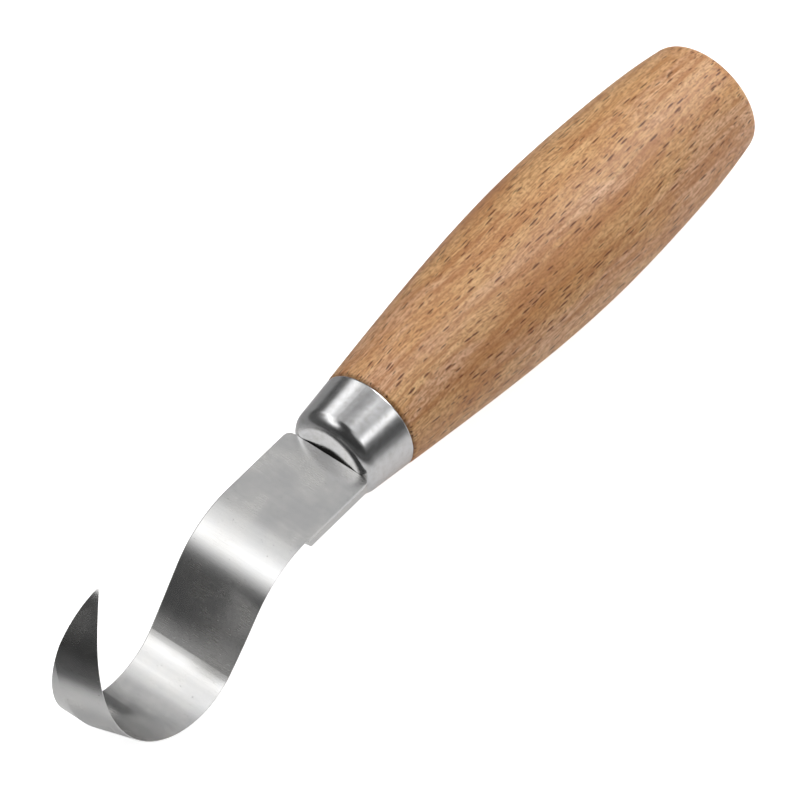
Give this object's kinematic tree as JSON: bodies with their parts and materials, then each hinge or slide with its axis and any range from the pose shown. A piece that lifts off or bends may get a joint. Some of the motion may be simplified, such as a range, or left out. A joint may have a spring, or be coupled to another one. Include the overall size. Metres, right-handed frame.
{
  "type": "hook knife",
  "caption": "Hook knife: a flat steel strip bent down and curled up into an open hook with a one-sided bevel, in a tapered ferrule on a turned barrel-shaped wooden handle.",
  "frame": {"origin": "centre of the handle's flat butt end", "axes": "+X along the handle towards the hook, +Z the side the hook opens to, +Y the side the cutting edge is ground on"},
  "size_m": [0.1758, 0.0299, 0.0389],
  "materials": {
    "blade_steel": "ground and lightly polished",
    "ferrule_steel": "polished",
    "beech": "satin, with short dark flecks along the grain"
  },
  "bodies": {
    "root": {"blade": "blade_steel", "ferrule": "ferrule_steel", "handle": "beech"}
  },
  "joints": []
}
